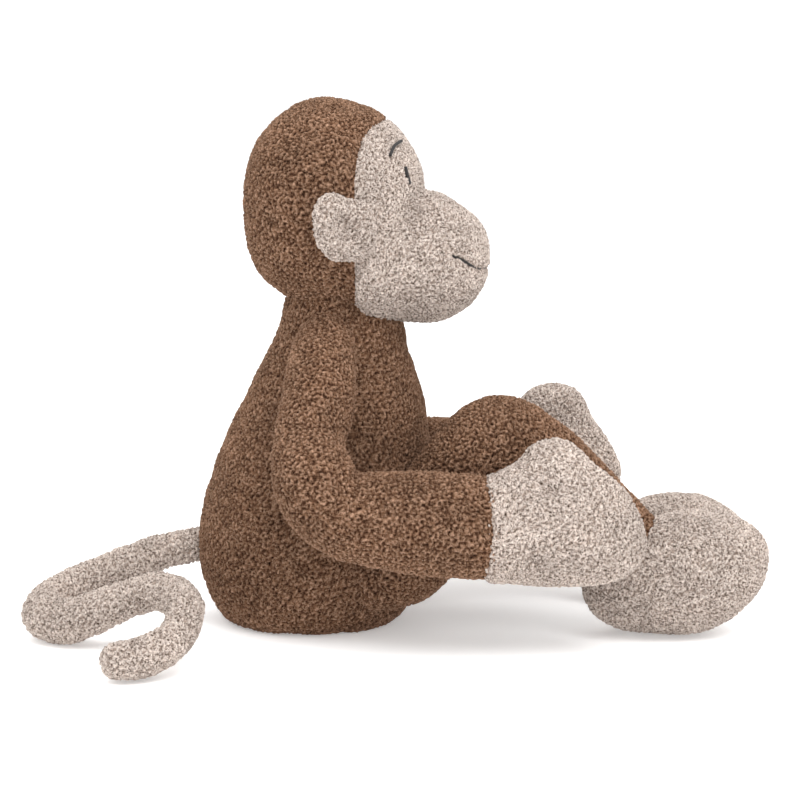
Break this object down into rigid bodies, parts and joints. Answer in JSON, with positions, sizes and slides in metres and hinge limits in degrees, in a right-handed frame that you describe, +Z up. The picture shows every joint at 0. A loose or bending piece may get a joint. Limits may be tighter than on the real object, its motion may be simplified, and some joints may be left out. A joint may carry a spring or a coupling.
{
  "type": "stuffed monkey",
  "caption": "Sitting plush monkey in two-tone curly pile fabric, with a soft jointed head, ears, arms, legs and a long curled tail.",
  "frame": {"origin": "centre of the flat seat, on the surface the toy sits on", "axes": "+Z up, the toy faces -Y, its left side is +X"},
  "size_m": [0.2616, 0.3954, 0.291],
  "materials": {
    "brown_pile": "short curly looped pile",
    "beige_pile": "short curly looped pile",
    "dark_thread": "embroidery thread",
    "polyester_fibre": "loose fibre filling",
    "plastic_pellets": "small pellets in a bag"
  },
  "bodies": {
    "torso": {"torso_cover": "brown_pile", "torso_stuffing": "polyester_fibre", "seat_pellet_bag": "plastic_pellets"},
    "neck": {"neck_stuffing": "polyester_fibre"},
    "head": {"head_cover": "brown_pile", "face_cover": "beige_pile", "head_stuffing": "polyester_fibre", "right_brow_stitch": "dark_thread", "left_brow_stitch": "dark_thread", "right_eye_stitch": "dark_thread", "left_eye_stitch": "dark_thread", "mouth_stitch": "dark_thread"},
    "tail": {"tail": "beige_pile"},
    "right_ear": {"right_ear": "beige_pile"},
    "right_upper_arm": {"right_upper_arm_cover": "brown_pile", "right_upper_arm_stuffing": "polyester_fibre"},
    "right_forearm": {"right_forearm_cover": "brown_pile", "right_forearm_stuffing": "polyester_fibre"},
    "right_hand": {"right_hand_cover": "beige_pile", "right_hand_stuffing": "polyester_fibre"},
    "right_thigh": {"right_thigh_cover": "brown_pile", "right_thigh_stuffing": "polyester_fibre"},
    "right_shin": {"right_shin_cover": "brown_pile", "right_shin_stuffing": "polyester_fibre"},
    "right_foot": {"right_foot_cover": "beige_pile", "right_foot_pellets": "plastic_pellets"},
    "left_ear": {"left_ear": "beige_pile"},
    "left_upper_arm": {"left_upper_arm_cover": "brown_pile", "left_upper_arm_stuffing": "polyester_fibre"},
    "left_forearm": {"left_forearm_cover": "brown_pile", "left_forearm_stuffing": "polyester_fibre"},
    "left_hand": {"left_hand_cover": "beige_pile", "left_hand_stuffing": "polyester_fibre"},
    "left_thigh": {"left_thigh_cover": "brown_pile", "left_thigh_stuffing": "polyester_fibre"},
    "left_shin": {"left_shin_cover": "brown_pile", "left_shin_stuffing": "polyester_fibre"},
    "left_foot": {"left_foot_cover": "beige_pile", "left_foot_pellets": "plastic_pellets"}
  },
  "joints": [
    {"name": "head_turn", "type": "hinge", "parent": "torso", "child": "neck", "pos_m": [0, -0.018, 0.172], "axis": [0, 0, 1], "range_deg": [-35, 35]},
    {"name": "head_nod", "type": "hinge", "parent": "neck", "child": "head", "pos_m": [0, -0.018, 0.172], "axis": [-1, 0, 0], "range_deg": [-12, 12]},
    {"name": "tail_swing", "type": "hinge", "parent": "torso", "child": "tail", "pos_m": [0, 0.062, 0.041], "axis": [0, 0, 1], "range_deg": [-50, 10]},
    {"name": "right_ear_flex", "type": "hinge", "parent": "head", "child": "right_ear", "pos_m": [-0.0525, -0.028, 0.219], "axis": [0, 0, 1], "range_deg": [-6, 25], "stiffness_Nm_per_rad": 0.01},
    {"name": "right_shoulder", "type": "hinge", "parent": "torso", "child": "right_upper_arm", "pos_m": [-0.05, -0.009, 0.16], "axis": [-1, 0, 0], "range_deg": [-35, 80]},
    {"name": "right_elbow", "type": "hinge", "parent": "right_upper_arm", "child": "right_forearm", "pos_m": [-0.088, -0.01, 0.08], "axis": [1, 0, 0], "range_deg": [-15, 70]},
    {"name": "right_wrist", "type": "hinge", "parent": "right_forearm", "child": "right_hand", "pos_m": [-0.09, -0.097, 0.069], "axis": [-1, 0, 0], "range_deg": [-20, 20]},
    {"name": "right_hip", "type": "hinge", "parent": "torso", "child": "right_thigh", "pos_m": [-0.038, -0.052, 0.036], "axis": [-1, 0, 0], "range_deg": [-50, 8]},
    {"name": "right_knee", "type": "hinge", "parent": "right_thigh", "child": "right_shin", "pos_m": [-0.04, -0.108, 0.104], "axis": [-1, 0, 0], "range_deg": [-12, 70]},
    {"name": "right_ankle", "type": "hinge", "parent": "right_shin", "child": "right_foot", "pos_m": [-0.041, -0.176, 0.056], "axis": [-1, 0, 0], "range_deg": [-20, 20]},
    {"name": "left_ear_flex", "type": "hinge", "parent": "head", "child": "left_ear", "pos_m": [0.0525, -0.028, 0.219], "axis": [0, 0, -1], "range_deg": [-6, 25], "stiffness_Nm_per_rad": 0.01},
    {"name": "left_shoulder", "type": "hinge", "parent": "torso", "child": "left_upper_arm", "pos_m": [0.05, -0.009, 0.16], "axis": [-1, 0, 0], "range_deg": [-35, 80]},
    {"name": "left_elbow", "type": "hinge", "parent": "left_upper_arm", "child": "left_forearm", "pos_m": [0.088, -0.012, 0.08], "axis": [1, 0, 0], "range_deg": [-15, 70]},
    {"name": "left_wrist", "type": "hinge", "parent": "left_forearm", "child": "left_hand", "pos_m": [0.09, -0.102, 0.074], "axis": [-1, 0, 0], "range_deg": [-20, 20]},
    {"name": "left_hip", "type": "hinge", "parent": "torso", "child": "left_thigh", "pos_m": [0.038, -0.05, 0.034], "axis": [-1, 0, 0], "range_deg": [-50, 8]},
    {"name": "left_knee", "type": "hinge", "parent": "left_thigh", "child": "left_shin", "pos_m": [0.04, -0.112, 0.091], "axis": [-1, 0, 0], "range_deg": [-12, 70]},
    {"name": "left_ankle", "type": "hinge", "parent": "left_shin", "child": "left_foot", "pos_m": [0.041, -0.174, 0.049], "axis": [-1, 0, 0], "range_deg": [-20, 20]}
  ]
}
